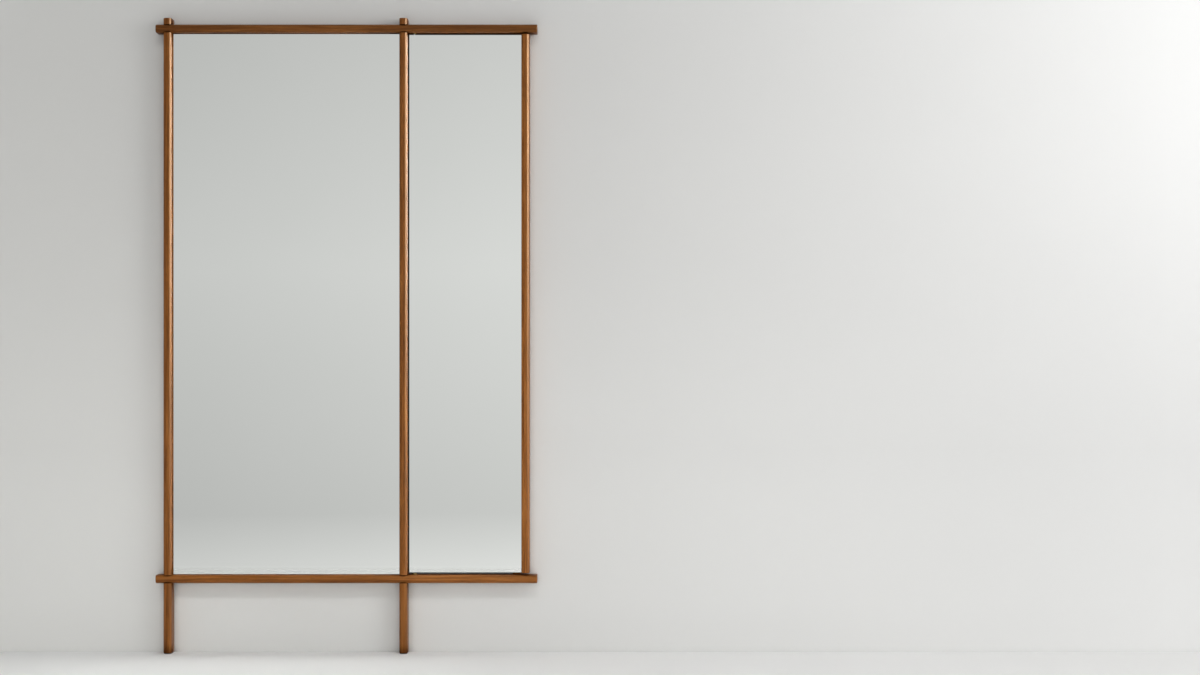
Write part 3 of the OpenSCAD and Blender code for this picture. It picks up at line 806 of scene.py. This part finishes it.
def nylon():
    """Natural nylon: milky, slightly translucent, its tone and gloss faintly uneven."""
    material, tree, shader, place = new_finish("natural_nylon")
    grain = noise(tree, place, 700.0, (1, 1, 1), detail=3)
    milky = two_tone(tree, grain, (0.70, 0.67, 0.58), (0.80, 0.78, 0.70))
    # Painted shade: the milky colour darkens where other pieces close in on the washer.
    link(tree, in_shade(tree, milky), shader.inputs["Base Color"])
    link(tree, spread(tree, grain, *NOISE_RANGE, 0.4, 0.52), shader.inputs["Roughness"])
    shader.inputs["Subsurface Weight"].default_value = 0.15
    shader.inputs["Subsurface Scale"].default_value = 0.002
    return material


# The brass bushes get painted shade where they sit in the narrow gap at the pivots.
brass = metal("turned_brass", (0.52, 0.33, 0.10), (0.74, 0.53, 0.22), 260.0, (0.4, 0.4, 9), (0.32, 0.48),
              painted_gap_shade=True)
nickel = metal("nickel_plate", (0.60, 0.57, 0.52), (0.74, 0.71, 0.66), 700.0, (1, 1, 1), (0.1, 0.22), 0.03)
finish_nodes(brass, "upper_pivot_bush", "lower_pivot_bush")
finish_nodes(nickel, "catch_magnets")
finish_nodes(nylon(), "thrust_washer")

# ---------------------------------------------------------------- wall and floor
# A pale painted wall just behind the object and a pale floor that fades away in front. The wall
# shows only from its front, so that the object's back can be looked at too. Its tone varies
# across and upward, set against the photograph to make up for the lamps' uneven light.

WALL_GAP = 2.5 * MM
WALL_TOP = 6.0
STAGE_REACH = 8.0
FLOOR_FADE = (-2.3, -2.8)
FLOOR_COLOUR = (0.84, 0.84, 0.83, 1)
WALL_X = (-1.2, 2.6)
# Painted light: the wall's colour runs lighter and darker across it and upward.
WALL_PAINTED_LIGHT_ACROSS = [(0.0, (0.84, 0.84, 0.815)), (0.28, (0.745, 0.745, 0.725)),
              (0.52, (0.765, 0.765, 0.75)), (1.0, (0.95, 0.95, 0.94))]
WALL_PAINTED_LIGHT_UP = [(0.16, 0.97), (0.64, 0.905), (1.12, 0.935), (1.6, 0.985), (2.0, 1.0)]


def stage_plane(name, corners):
    """A flat sheet through four corners, which belongs to the stage and not to the object."""
    mesh = bpy.data.meshes.new(name)
    mesh.from_pydata(corners, [], [(0, 1, 2, 3)])
    piece = bpy.data.objects.new(name, mesh)
    bpy.context.scene.collection.objects.link(piece)
    return piece


def paint(name):
    """Matt paint that can be clear in places. The last of what it returns is the socket for how
    clear it is, from 0 to 1."""
    material, tree, shader, place = new_finish(name)
    shader.inputs["Roughness"].default_value = 0.9
    shader.inputs["Specular IOR Level"].default_value = 0.1
    clear = tree.nodes.new("ShaderNodeBsdfTransparent")
    blend = tree.nodes.new("ShaderNodeMixShader")
    link(tree, shader.outputs["BSDF"], blend.inputs[1])
    link(tree, clear.outputs["BSDF"], blend.inputs[2])
    link(tree, blend.outputs["Shader"], tree.nodes["Material Output"].inputs["Surface"])
    return material, tree, shader, place, blend.inputs["Fac"]


def wall_hidden(tree):
    """1 on the wall's back, and for light that reaches the view through the wall's back."""
    back = tree.nodes.new("ShaderNodeNewGeometry").outputs["Backfacing"]
    crossed = tree.nodes.new("ShaderNodeLightPath").outputs["Transparent Depth"]
    return math_node(tree, "MAXIMUM", back, math_node(tree, "MINIMUM", crossed, 1.0))


def grey_ramp(tree, value, levels):
    """Greys between stops, each (value, level), held at both ends."""
    low, high = levels[0][0], levels[-1][0]
    stops = [((place - low) / (high - low), (level,) * 3) for place, level in levels]
    return ramp(tree, spread(tree, value, low, high, 0, 1), stops)


left, right, rear, front = -STAGE_REACH, STAGE_REACH, STAGE_REACH, FLOOR_FADE[1]
wall_y = CAD_BOX[1].y + WALL_GAP
wall = stage_plane("wall", [(left, wall_y, 0), (right, wall_y, 0),
                            (right, wall_y, WALL_TOP), (left, wall_y, WALL_TOP)])
floor = stage_plane("floor", [(left, front, 0), (right, front, 0), (right, rear, 0), (left, rear, 0)])

material, tree, shader, place, clearness = paint("wall_paint")
link(tree, wall_hidden(tree), clearness)
at = parts_of(tree, place)
# Painted light across the wall and upward, multiplied into its colour below.
painted_light_across = ramp(tree, spread(tree, at["X"], *WALL_X, 0, 1), WALL_PAINTED_LIGHT_ACROSS)
painted_light_up = grey_ramp(tree, at["Z"], WALL_PAINTED_LIGHT_UP)
# Painted shade: the wall darkens where the object closes in on it, most in the narrow gaps behind it.
wall_painted_shade = spread(tree, openness(tree), 0.05, 0.4, 0.2, 1.0)
shade = tone_colour(tree, math_node(tree, "MULTIPLY", painted_light_up, wall_painted_shade))
link(tree, mixed(tree, "MULTIPLY", 1.0, painted_light_across, shade), shader.inputs["Base Color"])
wall.data.materials.append(material)

material, tree, shader, place, clearness = paint("floor_paint")
link(tree, spread(tree, parts_of(tree, place)["Y"], *FLOOR_FADE, 0.0, 1.0), clearness)
shader.inputs["Base Color"].default_value = FLOOR_COLOUR
floor.data.materials.append(material)

# ---------------------------------------------------------------- room and lamps
# The mirrors show a plain room: a pale floor, and a far wall dark at its foot, lightest at eye
# level and dark again above. Lamps light the front from high up and low down, the floor and the
# back, and two at the right give light and sheen.

# Each pair is a direction's part along Z or X, from -1 to 1, and the room's light from there.
ROOM_BY_HEIGHT = [(-1.0, 0.75), (-0.4, 0.85), (-0.1, 0.7), (-0.07, 0.55), (0.05, 0.65),
                  (0.17, 0.55), (0.3, 0.2), (0.5, 0.2), (1.0, 0.55)]
ROOM_BY_SIDE = [(-1.0, 0.3), (-0.45, 0.9), (-0.2, 1.0), (0.0, 1.25), (0.1, 0.95), (0.4, 0.8), (1.0, 0.3)]

world = bpy.data.worlds.new("room")
bpy.context.scene.world = world
world.use_nodes = True
tree = world.node_tree
room = tree.nodes["Background"]
direction = parts_of(tree, tree.nodes.new("ShaderNodeTexCoord").outputs["Generated"])
by_height = grey_ramp(tree, direction["Z"], ROOM_BY_HEIGHT)
by_side = grey_ramp(tree, direction["X"], ROOM_BY_SIDE)
link(tree, mixed(tree, "MULTIPLY", 1.0, by_height, by_side), room.inputs["Color"])


def area_lamp(name, at, target, size, power, diffuse=True, glossy=True, spread_deg=180):
    """A rectangular lamp at a point, turned to a target, its power in watts. diffuse and glossy
    say whether it lights matt surfaces and whether it shows in shiny ones."""
    lamp = bpy.data.lights.new(name, "AREA")
    lamp.shape, lamp.size, lamp.size_y = "RECTANGLE", *size
    lamp.energy, lamp.spread = power, math.radians(spread_deg)
    piece = bpy.data.objects.new(name, lamp)
    piece.location = at
    toward = Vector(target) - Vector(at)
    piece.rotation_euler = toward.to_track_quat("-Z", "Y").to_euler()
    piece.visible_camera, piece.visible_diffuse, piece.visible_glossy = False, diffuse, glossy
    bpy.context.scene.collection.objects.link(piece)


area_lamp("front_lamp", (0.6, -4.4, 5.2), (0.0, 0.0, 0.0), (5.0, 0.25), 10, glossy=False, spread_deg=60)
area_lamp("low_lamp", (0.1, -1.8, 0.55), (0.1, 0.0, 0.55), (3.4, 0.5), 2.9, glossy=False, spread_deg=75)
area_lamp("floor_lamp", (1.0, -2.7, 5.0), (1.0, -2.7, 0.0), (5.0, 1.4), 13, glossy=False, spread_deg=50)
area_lamp("side_lamp", (4.2, -2.4, 2.4), (1.0, 0.0, 1.0), (1.8, 2.0), 56)
area_lamp("sheen_lamp", (4.3, -2.1, 2.5), (0.0, 0.0, 1.2), (3.2, 2.6), 1300, diffuse=False)
area_lamp("rear_lamp", (-1.5, 4.0, 3.0), (0.0, 0.0, 1.0), (3.0, 2.0), 120)
